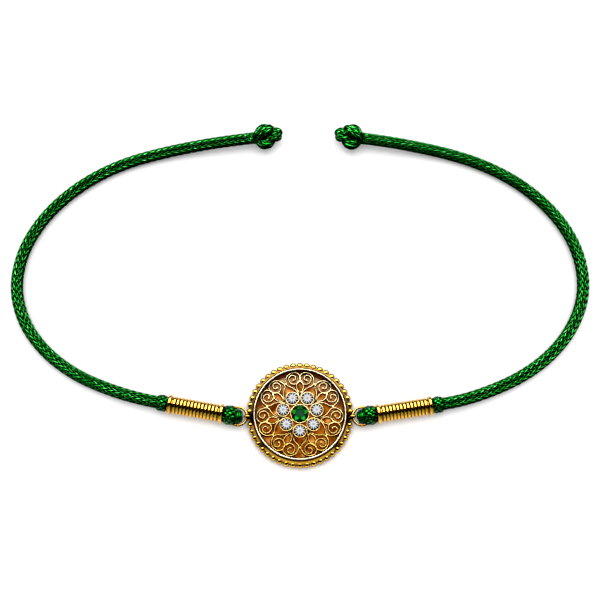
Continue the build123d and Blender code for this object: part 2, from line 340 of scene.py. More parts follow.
def ramp(tree, factor, stops):
    """The colour at a factor, between stops of a place from 0 to 1 and a colour."""
    made = node(tree, "ShaderNodeValToRGB", {"Fac": factor})
    elements = made.color_ramp.elements
    while len(elements) < len(stops):
        elements.new(0.5)
    for element, (place, colour) in zip(elements, stops):
        element.position = place
        element.color = opaque(colour)
    return made.outputs["Color"]


def multiplied(tree, first, second):
    """The product of two colours."""
    inputs = {0: 1.0, 6: first, 7: second}
    return node(tree, "ShaderNodeMix", inputs, data_type="RGBA", blend_type="MULTIPLY").outputs[2]


def tinted(tree, colour, factor, stops):
    """A colour times the colour that a ramp has at a factor."""
    return multiplied(tree, colour, ramp(tree, factor, stops))


def blended(tree, share, first, second):
    """A colour between two, by a share from 0 to 1."""
    return node(tree, "ShaderNodeMix", {0: share, 6: first, 7: second}, data_type="RGBA").outputs[2]


def maths(tree, operation, first, second=0.0):
    return node(tree, "ShaderNodeMath", {0: first, 1: second}, operation=operation).outputs[0]


def product(tree, first, second):
    return maths(tree, "MULTIPLY", first, second)


def distance_from(tree, value, middle):
    """How far a value is from a middle one, either way."""
    return maths(tree, "ABSOLUTE", maths(tree, "SUBTRACT", value, middle))


def smooth_step(tree, value, low, high):
    """0 below low and 1 above high, or the other way round where low is the larger."""
    inputs = {"Value": value, "From Min": low, "From Max": high}
    return node(tree, "ShaderNodeMapRange", inputs, interpolation_type="SMOOTHSTEP").outputs["Result"]


def step_mm(tree, value, low, high):
    """smooth_step for a value in metres, between limits in mm."""
    return smooth_step(tree, value, low * MM, high * MM)


def object_place(tree):
    return node(tree, "ShaderNodeTexCoord").outputs["Object"]


def split(tree, place):
    """The X, Y and Z of a place."""
    parts = node(tree, "ShaderNodeSeparateXYZ", {"Vector": place}).outputs
    return parts["X"], parts["Y"], parts["Z"]


def from_axis(tree, x, y):
    """The distance of a place from the Z axis."""
    flat = node(tree, "ShaderNodeCombineXYZ", {"X": x, "Y": y}).outputs[0]
    return node(tree, "ShaderNodeVectorMath", {0: flat}, operation="LENGTH").outputs["Value"]


def object_noise(tree, scale, detail=3.0):
    inputs = {"Vector": object_place(tree), "Scale": scale, "Detail": detail}
    return node(tree, "ShaderNodeTexNoise", inputs).outputs["Fac"]


def openness(tree, distance, samples):
    """1 in the open, and less where something stands within a distance."""
    return node(tree, "ShaderNodeAmbientOcclusion", {"Distance": distance}, samples=samples).outputs["AO"]


def ray_is(tree, kind):
    """1 for a ray of a kind, such as Glossy, and 0 for others."""
    return node(tree, "ShaderNodeLightPath").outputs[f"Is {kind} Ray"]


def bumped(tree, shader, height, strength, distance):
    bump = node(tree, "ShaderNodeBump", {"Height": height, "Strength": strength, "Distance": distance})
    tree.links.new(bump.outputs["Normal"], shader.inputs["Normal"])


# Gold by how open a place is, deep in a gap, hemmed in and in the open: painted shade, darkest in gaps
# and warm where metal is hemmed in
GOLD_TONES_WITH_SHADE = [(0.45, (0.06, 0.017, 0.002)), (0.76, (0.42, 0.18, 0.012)), (0.96, (0.92, 0.51, 0.055))]
RING_GOLD_TONES_WITH_SHADE = [(0.45, (0.04, 0.012, 0.001)), (0.76, (0.28, 0.13, 0.012)), (0.96, (0.62, 0.37, 0.08))]
# What gold is multiplied by where metal mirrors it, a painted darkening of reflections, and by the
# medallion's painted shade on its strips, grooves and front slope
METAL_IN_METAL = (0.3, 0.26, 0.2)
STRIP_AND_GROOVE_SHADE = (0.08, 0.03, 0.008)
FRONT_SLOPE_SHADE = (0.5, 0.48, 0.6)
# The colours of the medallion's walls, painted shade and warm bounce light, and the places (mm) that its
# painted shade follows
WALL_FOOT_WARM_LIGHT = (0.48, 0.12, 0.003)
WALL_TOP_SHADE = (0.025, 0.006, 0.0)
GROOVE_OFFSET = 0.26
SLOPE_START = RIDGE + 0.3
SLOPE_FOOT = 1.45
WALL_START = RIDGE - 0.2
WALL_SHADE = (1.3, 1.62)


def with_painted_shade(tree, shader, colour):
    """The medallion's colour with painted shade by place: dark strips and ridge grooves, a duller front
    slope and brown walls.
    """
    x, y, z = split(tree, object_place(tree))
    reach = from_axis(tree, x, y)
    # Painted shade: the flat strips of the filigree and the grooves on both sides of the ridge are
    # painted dark
    strips = step_mm(tree, reach, OPENING - 0.1, OPENING - 0.2)
    off_groove = distance_from(tree, distance_from(tree, reach, RIDGE * MM), GROOVE_OFFSET * MM)
    dark = maths(tree, "MAXIMUM", strips, step_mm(tree, off_groove, 0.19, 0.14))
    colour = tinted(tree, colour, dark, [(0.0, grey(1.0)), (1.0, STRIP_AND_GROOVE_SHADE)])
    # Painted shade: the rim's outer slope above the beads is painted duller in front
    slope = step_mm(tree, reach, SLOPE_START, SLOPE_START + 0.1)
    slope = product(tree, slope, step_mm(tree, z, SLOPE_FOOT, SLOPE_FOOT + 0.15))
    slope = product(tree, slope, step_mm(tree, y, 3, -4))
    colour = tinted(tree, colour, slope, [(0.0, grey(1.0)), (1.0, FRONT_SLOPE_SHADE)])
    # Painted shade and warm bounce light: the walls of the strips and of the rim are painted matt and
    # reddish brown, and darkest near the top
    wall = step_mm(tree, reach, WALL_START, WALL_START - 0.1)
    wall = product(tree, wall, step_mm(tree, z, FILIGREE_TOP - 0.01, FILIGREE_TOP - 0.09))
    wall_shade_colour = blended(tree, step_mm(tree, z, *WALL_SHADE), opaque(WALL_FOOT_WARM_LIGHT), opaque(WALL_TOP_SHADE))
    tree.links.new(maths(tree, "SUBTRACT", 1.0, product(tree, wall, 0.2)), shader.inputs["Metallic"])
    return blended(tree, wall, colour, wall_shade_colour)


def gold_material(name, tones, painted_shade=False):
    """Polished, lacquered gold: faint polishing marks, and painted shade, dark and warm, where the metal
    is hemmed in.

    tones are the stops of a ramp over how open a place is; the medallion also gets painted shade by
    place.
    """
    material, shader, tree = principled(name, Metallic=1.0, Coat_Weight=0.1, Coat_Roughness=0.06)
    # Painted shade: the gold darkens by how hemmed in a place is
    colour = ramp(tree, openness(tree, 0.6 * MM, 8), tones)
    blotches = object_noise(tree, 900.0)
    colour = tinted(tree, colour, blotches, [(0.3, (0.82, 0.78, 0.7)), (0.7, grey(1.0))])
    # Painted reflection: metal mirrored in metal is painted darker, which draws dark lines between
    # neighbouring forms
    mirrored = ray_is(tree, "Glossy")
    colour = tinted(tree, colour, mirrored, [(0.0, grey(1.0)), (1.0, METAL_IN_METAL)])
    if painted_shade:
        colour = with_painted_shade(tree, shader, colour)
    tree.links.new(colour, shader.inputs["Base Color"])
    marks = object_noise(tree, 2500.0, 4.0)
    rough = node(tree, "ShaderNodeMapRange", {"Value": marks, "To Min": 0.08, "To Max": 0.17})
    tree.links.new(rough.outputs["Result"], shader.inputs["Roughness"])
    bumped(tree, shader, object_noise(tree, 3500.0, 5.0), 0.06, 0.1 * MM)
    return material


def wire_gold_material():
    """The wires' gold, with painted light: paler towards +Y, the side that the light comes from."""
    material, shader, tree = principled("wire_gold_lit_above", Metallic=1.0, Roughness=0.3)
    _, y, _ = split(tree, object_place(tree))
    # Painted light: the wires are painted paler on the +Y side
    upper = step_mm(tree, y, -6, 6)
    pale = blended(tree, upper, opaque((0.78, 0.47, 0.09)), opaque((1.0, 0.78, 0.4)))
    tree.links.new(pale, shader.inputs["Base Color"])
    return material


def plain_material(name, colour, **values):
    return principled(name, Base_Color=opaque(colour), **values)[0]


# Thread, and how many filaments show across one strand
FILAMENTS = 3


def thread_material(name, dark, light, pale, metallic, roughness, hollow=0.6 * MM):
    """Satin thread: streaks and fine filaments along each strand, which u crosses and v follows, with
    painted shade in gaps, along strand edges and where a strand dips under.

    hollow is how near other strands shade a place.
    """
    material, shader, tree = principled(
        name, Metallic=metallic, Roughness=roughness, Specular_IOR_Level=0.3
    )
    uv = node(tree, "ShaderNodeUVMap", uv_map="UVMap").outputs["UV"]
    across, along, _ = split(tree, uv)
    streaks = {"X": product(tree, across, 0.45), "Y": product(tree, along, 1.2)}
    streaks = node(tree, "ShaderNodeCombineXYZ", streaks).outputs[0]
    inputs = {"Vector": streaks, "Scale": 1.0, "Detail": 3.0}
    noise = node(tree, "ShaderNodeTexNoise", inputs).outputs["Fac"]
    colour = ramp(tree, noise, [(0.38, dark), (0.56, light), (0.72, pale)])
    # Painted shade: darker where other strands stand near
    gap_shade = openness(tree, hollow, 6)
    colour = tinted(tree, colour, gap_shade, [(0.42, grey(0.0)), (0.85, grey(1.0))])
    # Painted shade: a strand is brightest where it lies on top, and darker along its edges and where it
    # dips under
    raised = node(tree, "ShaderNodeAttribute", attribute_name="raised").outputs["Fac"]
    colour = tinted(tree, colour, raised, [(0.46, grey(0.02)), (0.96, grey(1.0))])
    inside = maths(tree, "PINGPONG", across, 0.5)
    colour = tinted(tree, colour, inside, [(0.1, grey(0.05)), (0.36, grey(1.0))])
    tree.links.new(colour, shader.inputs["Base Color"])
    filaments = maths(tree, "SINE", product(tree, across, FILAMENTS * 2 * math.pi))
    bumped(tree, shader, maths(tree, "ADD", filaments, noise), 0.3, 0.02 * MM)
    return material


# Stones, with painted reflections and shade: how much wider the dark notches are in front, and how soft
# the edges of notches and table are
NOTCH_LEAN = 0.35
NOTCH_EDGE = 0.3
TABLE_EDGE = 0.07


def stone_material(
    name, centre, radius, folds, start, table, notches, colours, back, inner, ior, clear, shine
):
    """A round stone whose facets are painted: lit facets as painted reflections, and dark notches as
    painted shade that widen towards its girdle.

    folds and start are the number of notches and the first one's turn; table is the share of the radius
    that the flat top takes; notches are the slope and the level from which a facet is dark; colours are
    those of the facets, the notches and the table; back is the painted brightness of the facets on the
    far side beside that of the near ones, and inner that next to the table.
    """
    facet, notch, crown = colours
    steepness, level = notches
    material, shader, tree = principled(
        name, Transmission_Weight=clear, IOR=ior, Roughness=0.04, Specular_IOR_Level=shine
    )
    local = node(tree, "ShaderNodeVectorMath", {0: object_place(tree), 1: centre}, operation="SUBTRACT")
    x, y, _ = split(tree, local.outputs["Vector"])
    reach = product(tree, from_axis(tree, x, y), 1 / radius)
    angle = maths(tree, "ADD", product(tree, maths(tree, "ARCTAN2", y, x), float(folds)), start)
    wedge = maths(tree, "ADD", maths(tree, "COSINE", angle), product(tree, reach, steepness))
    wedge = maths(tree, "SUBTRACT", wedge, product(tree, y, NOTCH_LEAN / radius))
    dark = smooth_step(tree, wedge, level - NOTCH_EDGE, level + NOTCH_EDGE)
    # Painted shade: facets on the far side and next to the table are darker, with painted glints from
    # noise
    facing = smooth_step(tree, y, 0.9 * radius, -0.8 * radius)
    facets = tinted(tree, opaque(facet), facing, [(0.0, grey(back)), (1.0, grey(1.0))])
    girdle = smooth_step(tree, reach, table + 0.04, table + 0.22)
    facets = tinted(tree, facets, girdle, [(0.0, grey(inner)), (1.0, grey(1.0))])
    painted_glints = [(0.35, grey(0.6)), (0.6, grey(1.0))]
    facets = tinted(tree, facets, object_noise(tree, 5000.0, 2.0), painted_glints)
    colour = blended(tree, dark, facets, opaque(notch))
    on_table = smooth_step(tree, reach, table + TABLE_EDGE, table - TABLE_EDGE)
    tree.links.new(blended(tree, on_table, colour, opaque(crown)), shader.inputs["Base Color"])
    return material


def clear_stone_places():
    """The clear stones' centres (mm): the first lies towards -Y, and the others follow anticlockwise."""
    angles = [math.radians(-90 + index * 360 / HEARTS) for index in range(HEARTS)]
    return [(STONE_RING * math.cos(angle), STONE_RING * math.sin(angle)) for angle in angles]


gold = gold_material("polished_gold", GOLD_TONES_WITH_SHADE)
ring_gold = gold_material("ring_gold", RING_GOLD_TONES_WITH_SHADE)
medallion_gold = gold_material("medallion_gold", GOLD_TONES_WITH_SHADE, painted_shade=True)
wire_gold = wire_gold_material()
# A paler copy of gold for the ridge wire, a painted highlight line
ridge_highlight_gold = plain_material("ridge_highlight_gold", (1.0, 0.82, 0.6), Metallic=1.0, Roughness=0.33)
# Painted shade: a near-black gold for the bands beside the filigree's wires
wire_shade_gold = plain_material("wire_shade_bands", (0.06, 0.02, 0.003), Metallic=1.0, Roughness=0.4)
cord_green = thread_material(
    "braided_cord",
    dark=(0.0, 0.13, 0.004),
    light=(0.01, 0.25, 0.022),
    pale=(0.1, 0.46, 0.14),
    metallic=0.98,
    roughness=0.24,
)
# The knot's copy of the cord's thread, painted lighter than the cord, with deeper painted shade in its
# creases
knot_green = thread_material(
    "knotted_cord",
    dark=(0.0, 0.08, 0.002),
    light=(0.015, 0.45, 0.035),
    pale=(0.08, 0.7, 0.14),
    metallic=0.98,
    roughness=0.2,
    hollow=0.9 * MM,
)
wrap_green = thread_material(
    "wound_thread",
    dark=(0.0, 0.02, 0.001),
    light=(0.002, 0.22, 0.012),
    pale=(0.02, 0.42, 0.06),
    metallic=0.98,
    roughness=0.22,
)
loop_green = thread_material(
    "loop_thread",
    dark=(0.0, 0.02, 0.0),
    light=(0.0, 0.12, 0.006),
    pale=(0.005, 0.2, 0.02),
    metallic=0.95,
    roughness=0.3,
)
core_green = plain_material("cord_core", (0.0, 0.006, 0.001), Roughness=0.8)

# Each stone's colours are painted reflections and shade: lit facets, dark notches and a table
STONES = {
    "centre_stone": stone_material(
        "green_stone",
        centre=(0, 0, 0),
        radius=GREEN_RADIUS * MM,
        folds=5,
        start=math.pi / 2,
        table=0.42,
        notches=(4.5, 3.3),
        colours=((0.01, 0.6, 0.04), (0.0, 0.012, 0.001), (0.012, 0.06, 0.028)),
        back=0.2,
        inner=0.12,
        ior=1.75,
        clear=0.05,
        shine=0.15,
    )
}
for index, (x, y) in enumerate(clear_stone_places()):
    STONES[f"white_stone_{index + 1}"] = stone_material(
        f"clear_stone_{index + 1}",
        centre=(x * MM, y * MM, 0),
        radius=CLEAR_RADIUS * MM,
        folds=11,
        start=1.3 * index,
        table=0.2,
        notches=(4.0, 2.85),
        colours=((0.88, 0.89, 0.92), grey(0.01), (0.36, 0.36, 0.4)),
        back=0.9,
        inner=0.9,
        ior=1.9,
        clear=0.08,
        shine=0.5,
    )

# The nodes that get the core's green are hidden, because pieces made below replace them
for name, item in nodes.items():
    item.data.materials.clear()
    if name in STONES:
        item.data.materials.append(STONES[name])
    elif name == "medallion":
        item.data.materials.append(medallion_gold)
    elif name.endswith("jump_ring"):
        item.data.materials.append(ring_gold)
    elif name.endswith("sleeve"):
        item.data.materials.append(gold)
    else:
        item.data.materials.append(core_green)

# Cords and their end knots: strands, which follow the line in steps, over a core with longer steps,
# painted near black as the shade between strands

BRAID_STEP = 0.00018
BRAID_LAY = 0.022
CARRIERS = 16
STRAND = 0.0003
COVER = 0.58
CORD_CORE = 0.00092
CORD_CORE_STRIDE = 4
CORE_SIDES = 14
KNOT_CARRIERS = 12
KNOT_STRAND = 0.75 * STRAND
KNOT_COVER = 0.8
KNOT_CORE_DEPTH = 0.00022
KNOT_CORE_STRIDE = 3
# The length over which a stub's end is rounded, in radii
STUB_ROUNDING = 1.15
# The flat loop in the knot (mm): its middle, its half length and half width, and how far it dips
KNOT_LOOP = np.array([2.38, 0.05, -0.1])
KNOT_LOOP_RADII = (1.14, 1.72)
KNOT_LOOP_DIP = 0.9


def cord_braid(side, line, along):
    """A tie's braided cord, from its whipping to its knot."""
    pile = Pile()
    round_tube(pile, line[::CORD_CORE_STRIDE], CORD_CORE, CORE_SIDES)
    braid(pile, line, along, CORD_DIAMETER / 2, CARRIERS, BRAID_LAY, STRAND, COVER)
    cord = pile.object(side + "_cord_braid", cord_green)
    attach(cord, "root")
    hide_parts(side + "_cord")
    return cord


def knot_frame(direction):
    """Rows are the knot's own axes: forward, towards the ties' far side, and up."""
    forward = unit(direction)
    lift = np.array([0.0, 0.0, 1.0])
    lift = unit(lift - forward * (lift @ forward))
    aside = np.cross(lift, forward)
    if aside[1] < 0:
        aside = -aside
    return np.stack([forward, aside, lift])


def knot_parts():
    """Lines (mm) that the cord takes in its end knot, with the radius and the level of painted shade of
    each.

    They are a flat loop, the heart that it goes round, a bare core that paints the knot's dark crease,
    the turn that crosses over both, the cord's way in, and the doubled stub that comes out ahead.
    """
    around = np.linspace(0.5 * math.pi, 2.5 * math.pi, 90)
    length, width = KNOT_LOOP_RADII
    dip = KNOT_LOOP_DIP * np.clip(np.sin(around), 0, 1) ** 2
    loop = KNOT_LOOP + np.column_stack([length * np.sin(around), width * np.cos(around), -dip])
    heart = [(1.6, 0.3, -0.25), (2.4, 0.1, -0.25), (3.2, -0.2, -0.25)]
    over = [(1.0, -0.3, 0.0), (0.65, -0.2, 1.35), (2.1, 0.4, 1.75), (3.65, 1.1, 1.2), (3.7, 1.2, 0.0)]
    entry = [(-0.6, 0, 0), (0.3, 0, 0), (1.6, 0, -0.4)]
    upper = [(2.6, 0.45, 0.2), (4.2, 0.6, 0.25), (6.1, 0.4, 0.0)]
    lower = [(2.8, -0.4, 0.05), (4.2, -0.48, 0.05), (5.85, -0.35, 0.0)]
    return {
        "loop": (loop, 1.06, 0.85),
        "heart": (spline_line("heart", heart), 1.1, 0.0),
        "over": (spline_line("over", over), 1.02, 1.0),
        "entry": (spline_line("entry", entry), 1.2, 0.9),
        "upper": (spline_line("upper", upper), 1.12, 0.97),
        "lower": (spline_line("lower", lower), 0.95, 0.88),
    }


def knot_braid(side):
    """The knot that ends a tie: braided cord over a core painted near black as shade, with the heart of
    the knot bare as its dark crease.
    """
    before, end = np.array(ROUTES[side][-2:])
    axes = knot_frame(end - before)
    pile = Pile()
    for part, (points, thick, level) in knot_parts().items():
        line, along = evenly(end + MM * points @ axes, BRAID_STEP)
        radius = np.full(len(line), thick * MM)
        if part in ("upper", "lower"):
            # The stub's ends are rounded
            tail = np.clip((along[-1] - along) / (STUB_ROUNDING * radius), 0, 1)
            radius = radius * np.sqrt(np.clip(1 - (1 - tail) ** 2, 0.03, 1))
        core = slice(None, None, KNOT_CORE_STRIDE)
        round_tube(pile, line[core], radius[core] - KNOT_CORE_DEPTH, CORE_SIDES)
        if part != "heart":
            strands = (KNOT_CARRIERS, BRAID_LAY, KNOT_STRAND, KNOT_COVER)
            braid(pile, line, along, radius, *strands, level=level)
    knot_piece = pile.object(side + "_knot_braid", knot_green)
    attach(knot_piece, "root")
    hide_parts(side + "_end_knot")
    return knot_piece


threads = []
for side in SIDES:
    line, along = evenly(spline_line(side + "_route", ROUTES[side]), BRAID_STEP)
    cord = cord_braid(side, line, along)
    knot_piece = knot_braid(side)
    threads += [cord, knot_piece]

# Arms: wound thread round the ends of the sleeves and through the jump rings (mm)

# Each whipping's ends along the arm, its radius in the middle and at the ends, and its lay
WINDINGS = {
    "inner": {"start": 0.0, "end": 2.42, "radius": 1.91, "end_radius": 1.25, "lay": 9.0},
    "outer": {"start": 13.23, "end": 15.3, "radius": 1.64, "end_radius": 1.18, "lay": 9.5},
}
WINDING_CARRIERS = 9
WINDING_STRAND = 0.3
WINDING_CORE_DEPTH = 0.45
WINDING_SIDES = 24
NOSE_RADIUS = 1.33
NOSE_SHOULDER = 0.1
SHANK_START = 0.4
SHANK_RADIUS = 1.03
NOSE_THREAD = 0.15
NOSE_THREAD_PITCH = 0.34
NOSE_THREAD_ENDS = (-1.2, 0.3)


def arm_line(side, stations):
    """Points on the arm's centre line at distances (mm) from its start."""
    way = -1 if side == "left" else 1
    turn = math.radians(ARM_TURN[side])
    outward = np.array([way * math.cos(turn), math.sin(turn), 0])
    origin = np.array([way * ARM_START, ARM_OFFSET, ARM_HEIGHT])
    return (origin + np.outer(stations, outward)) * MM


def winding(side, part, start, end, radius, end_radius, lay):
    """A whipping at one end of a sleeve, fullest in the middle."""
    stations = np.linspace(start, end, 60)
    line = arm_line(side, stations)
    share = np.clip((stations - start) / (end - start), 0, 1)
    bulge = np.sqrt(np.clip(1 - (2 * share - 1) ** 2, 0, 1))
    outside = (end_radius + (radius - end_radius) * bulge) * MM
    pile = Pile()
    round_tube(pile, line, outside - WINDING_CORE_DEPTH * MM, WINDING_SIDES)
    along = (stations - start) * MM
    braid(pile, line, along, outside, WINDING_CARRIERS, lay * MM, WINDING_STRAND * MM, over=1)
    wrap = pile.object(f"{side}_{part}_winding", wrap_green)
    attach(wrap, "root")
    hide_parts(f"{side}_{part}_wrap")
    return wrap


def nose_radius(stations):
    """Radius (mm) of the thread that runs through an arm, blunt and full where it fills the jump ring."""
    ahead = np.clip((-NOSE_SHOULDER - stations) / (NOSE_REACH - NOSE_SHOULDER), 0, 1)
    blunt = NOSE_RADIUS * np.power(np.clip(1 - ahead**3, 0.0005, 1), 0.45)
    behind = np.interp(stations, [0, SHANK_START], [NOSE_RADIUS, SHANK_RADIUS])
    return np.where(stations < 0, blunt, behind)


def loop_winding(side):
    """The thread's blunt nose through the jump ring, wound round with finer thread, and its shank."""
    nose = np.linspace(-NOSE_REACH, -NOSE_SHOULDER, 18)
    stations = np.concatenate([nose, np.linspace(0, ARM_LENGTH, 24)])
    pile = Pile()
    round_tube(pile, arm_line(side, stations), nose_radius(stations) * MM, WINDING_SIDES, raised=1.0)
    wound = np.linspace(*NOSE_THREAD_ENDS, 300)
    middle = arm_line(side, wound)
    _, normals, binormals = carried_frames(middle)
    spin = (2 * math.pi * wound / NOSE_THREAD_PITCH)[:, None]
    outward = np.cos(spin) * normals + np.sin(spin) * binormals
    thread = middle + (nose_radius(wound) * MM)[:, None] * outward
    round_tube(pile, thread, NOSE_THREAD * MM, 6, raised=1.0)
    loop = pile.object(f"{side}_loop_winding", loop_green)
    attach(loop, "root")
    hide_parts(f"{side}_thread_loop")
    return loop


for side in SIDES:
    for part, measures in WINDINGS.items():
        threads.append(winding(side, part, **measures))
    threads.append(loop_winding(side))

# Medallion: round wire on the filigree with dark bands under it as painted shade, solder, a ridge wire
# painted pale as a highlight line, and rolled bezel rims (mm)

WIRE = 0.08
WIRE_SIDES = 8
# A flat dark band under each wire paints the shade beside it
BAND = 0.24
BAND_DROP = 0.02
BAND_FLATNESS = 0.15
SCROLL_BALL = 0.17
SOLDER_DOT = 0.2
SOLDER_FLATNESS = 0.75
INNER_JOINT = 1.9
SOLDER_SIDES = 12
SOLDER_LEVELS = 6
RIDGE_WIRE = 0.11
RIDGE_CORNERS = 180
BEZEL_WIRE = 0.085
BEZEL_CORNERS = 64
RIM_SIDES = 10
BEZEL_WIRE_DROP = 0.06
GREEN_BEZEL_TOP = 2.4
CLEAR_BEZEL_TOP = 2.3


def arc_chain(start, steps):
    """Points of a flat line that starts at a place heading +Y.

    Each step is an arc's radius and its turn in degrees, or a straight run's length and 0.
    """
    points, heading = [np.array(start, float)], 90.0
    for size, turn in steps:
        pieces = max(1, round(abs(turn) / 9))
        half = math.radians(abs(turn)) / pieces / 2
        step = 2 * size * math.sin(half) if turn else size
        for _ in range(pieces):
            heading += turn / pieces / 2
            direction = np.array([math.cos(math.radians(heading)), math.sin(math.radians(heading))])
            points.append(points[-1] + step * direction)
            heading += turn / pieces / 2
    return np.array(points)


def half_heart():
    """One side of a heart, from its root by its hip to the end of its scroll."""
    steps = [(HEART_FLARE, -HEART_FLARE_TURN), (HEART_HIP, HEART_FLARE_TURN), (HEART_RISE, 0)]
    steps += [(share, 90) for share in SCROLL_ARCS]
    return OPENING * arc_chain((HEART_HALF_GAP, HEART_ROOT), steps)


def half_cell():
    """One side of the pointed cell in a heart, a bow from its root to its tip."""
    t = np.linspace(0, 1, 12)[:, None]
    root, belly, tip = np.array([0, CELL_ROOT]), np.array(CELL_BELLY), np.array([0, CELL_TIP])
    return OPENING * ((1 - t) ** 2 * root + 2 * t * (1 - t) * belly + t**2 * tip)


def turned(points, degrees):
    c, s = math.cos(math.radians(degrees)), math.sin(math.radians(degrees))
    return points @ np.array([[c, s], [-s, c]])


def lifted(points, height):
    return np.column_stack([points, np.full(len(points), height)]) * MM


def solder(pile, place, degrees, radius=SOLDER_DOT):
    """A small flattened ball of solder on the filigree, at a place that is turned by an angle."""
    x, y = turned(np.array(place), degrees)
    around = np.linspace(0, 2 * math.pi, SOLDER_SIDES, endpoint=False)
    down = np.linspace(math.pi, 0, SOLDER_LEVELS + 2)[1:-1]
    ring = np.stack(
        [
            np.outer(np.sin(down), np.cos(around)) * radius + x,
            np.outer(np.sin(down), np.sin(around)) * radius + y,
            np.outer(np.cos(down), np.ones(SOLDER_SIDES)) * radius * SOLDER_FLATNESS + FILIGREE_TOP,
        ],
        axis=-1,
    )
    pile.tube(ring * MM)


def filigree():
    """Round wire and its solder on the hearts and cells, and dark bands under the wire, which paint the
    shade beside it.
    """
    wires, bands = Pile(), Pile()
    heart, cell = half_heart(), half_cell()
    for index in range(HEARTS):
        degrees = index * 360 / HEARTS
        for mirror in (1, -1):
            for curve in (heart, cell):
                line = turned(curve * (mirror, 1), degrees)
                round_tube(wires, lifted(line, FILIGREE_TOP), WIRE * MM, WIRE_SIDES)
                round_tube(bands, lifted(line, FILIGREE_TOP - BAND_DROP), BAND * MM, flat=BAND_FLATNESS)
            solder(wires, heart[-1] * (mirror, 1), degrees, SCROLL_BALL)
        for share in (HEART_ROOT, TOP_JOINT):
            solder(wires, (0, share * OPENING), degrees)
        for reach in (SIDE_JOINT * OPENING, INNER_JOINT):
            solder(wires, (0, reach), degrees + 180 / HEARTS)
    return wires.object("filigree_wires", wire_gold), bands.object("filigree_shade_bands", wire_shade_gold)


def hoop(centre, radius, height, corners):
    """A level circle, whose last point is its first again, and the way outward at each point."""
    circle = np.linspace(0, 2 * math.pi, corners + 1)
    outward = np.column_stack([np.cos(circle), np.sin(circle)])
    return lifted(centre + radius * outward, height), np.column_stack([outward, np.zeros(corners + 1)])


def ridge():
    """A wire along the rim's ridge, in a paler gold that paints it as a bright highlight line."""
    pile = Pile()
    line, _ = hoop((0, 0), RIDGE, RIDGE_TOP, RIDGE_CORNERS)
    round_tube(pile, line, RIDGE_WIRE * MM, RIM_SIDES, capped=False)
    return pile.object("ridge_line", ridge_highlight_gold)


def bezel_rims():
    """The rolled edge of each bezel, the green stone's first."""
    pile = Pile()
    bezels = [((0, 0), GREEN_RADIUS, GREEN_BEZEL_TOP)]
    bezels += [(place, CLEAR_RADIUS, CLEAR_BEZEL_TOP) for place in clear_stone_places()]
    for centre, stone, top in bezels:
        radius = stone + STONE_CLEARANCE + BEZEL_WIRE
        line, outward = hoop(centre, radius, top - BEZEL_WIRE_DROP, BEZEL_CORNERS)
        up = np.broadcast_to([0.0, 0.0, 1.0], line.shape)
        pile.tube(rings_round(line, outward, up, BEZEL_WIRE * MM, RIM_SIDES), capped=False)
    return pile.object("bezel_rims", wire_gold)


wires, shade_bands = filigree()
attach(wires, "root")
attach(shade_bands, "root")
ridge_line = ridge()
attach(ridge_line, "root")
rims = bezel_rims()
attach(rims, "root")

# Stage

FLOOR_REACH = 3.0


def ramp_outwards(tree, reach, span, stops):
    """A ramp over the distance from the medallion's centre; its span and its stops' places are in mm."""
    stops = [(place / span, colour) for place, colour in stops]
    return ramp(tree, product(tree, reach, 1 / (span * MM)), stops)


def seen_floor(tree, y, reach):
    """The floor's colour: pale, with painted shade and warm painted glow under the filigree, and a warm
    painted shadow just round the medallion.
    """
    # Painted shade and glow under the filigree, patchy from noise
    tints = [(0.38, (0.16, 0.035, 0.0)), (0.52, (0.52, 0.2, 0.008)), (0.68, (1.0, 0.6, 0.2))]
    painted_glow = ramp(tree, object_noise(tree, 520.0, 1.0), tints)
    # Painted light: it is paler near the rim on the far side
    pale = product(tree, step_mm(tree, y, 1, 6), 0.6)
    pale = product(tree, pale, step_mm(tree, reach, 5.5, 7.2))
    painted_glow = blended(tree, pale, painted_glow, opaque((1.0, 0.84, 0.64)))
    plain = ramp_outwards(tree, reach, 13.333, [(8.0, grey(0.0)), (9.333, grey(0.78)), (12.0, grey(1.0))])
    return blended(tree, plain, painted_glow, opaque(grey(0.98)))


def mirrored_floor(tree, y, reach):
    """What gloss shows of the floor: bright beside the medallion and all over the front, else dark."""
    stops = [
        (8.0, (0.4, 0.15, 0.04)),
        (8.6, grey(0.1)),
        (10.8, grey(0.1)),
        (12.8, grey(0.9)),
        (26.4, grey(0.9)),
        (30.4, grey(0.08)),
    ]
    colour = ramp_outwards(tree, reach, 40.0, stops)
    colour = blended(tree, step_mm(tree, y, -10, -14), colour, opaque(grey(0.9)))
    behind = product(tree, step_mm(tree, reach, 16, 13.5), step_mm(tree, y, 5, 8))
    return blended(tree, behind, colour, opaque(grey(0.03)))


def mixed_shaders(tree, share, first, second):
    return node(tree, "ShaderNodeMixShader", {0: share, 1: first, 2: second}).outputs[0]


def pale_floor():
    """A pale floor, which gloss shows another brightness than it shows the camera."""
    material = bpy.data.materials.new("pale_floor")
    material.use_nodes = True
    tree = material.node_tree
    tree.nodes.clear()
    x, y, _ = split(tree, object_place(tree))
    reach = from_axis(tree, x, y)
    seen = node(tree, "ShaderNodeBsdfDiffuse", {"Color": seen_floor(tree, y, reach)}).outputs[0]
    mirrored = node(tree, "ShaderNodeBsdfDiffuse", {"Color": mirrored_floor(tree, y, reach)}).outputs[0]
    surface = mixed_shaders(tree, ray_is(tree, "Glossy"), seen, mirrored)
    node(tree, "ShaderNodeOutputMaterial", {"Surface": surface})
    return material


floor_mesh = bpy.data.meshes.new("floor")
corners = [(-1, -1), (1, -1), (1, 1), (-1, 1)]
floor_mesh.from_pydata([(x * FLOOR_REACH, y * FLOOR_REACH, 0) for x, y in corners], [], [(0, 1, 2, 3)])
floor_mesh.materials.append(pale_floor())
floor = bpy.data.objects.new("floor", floor_mesh)
bpy.context.scene.collection.objects.link(floor)

# Lights


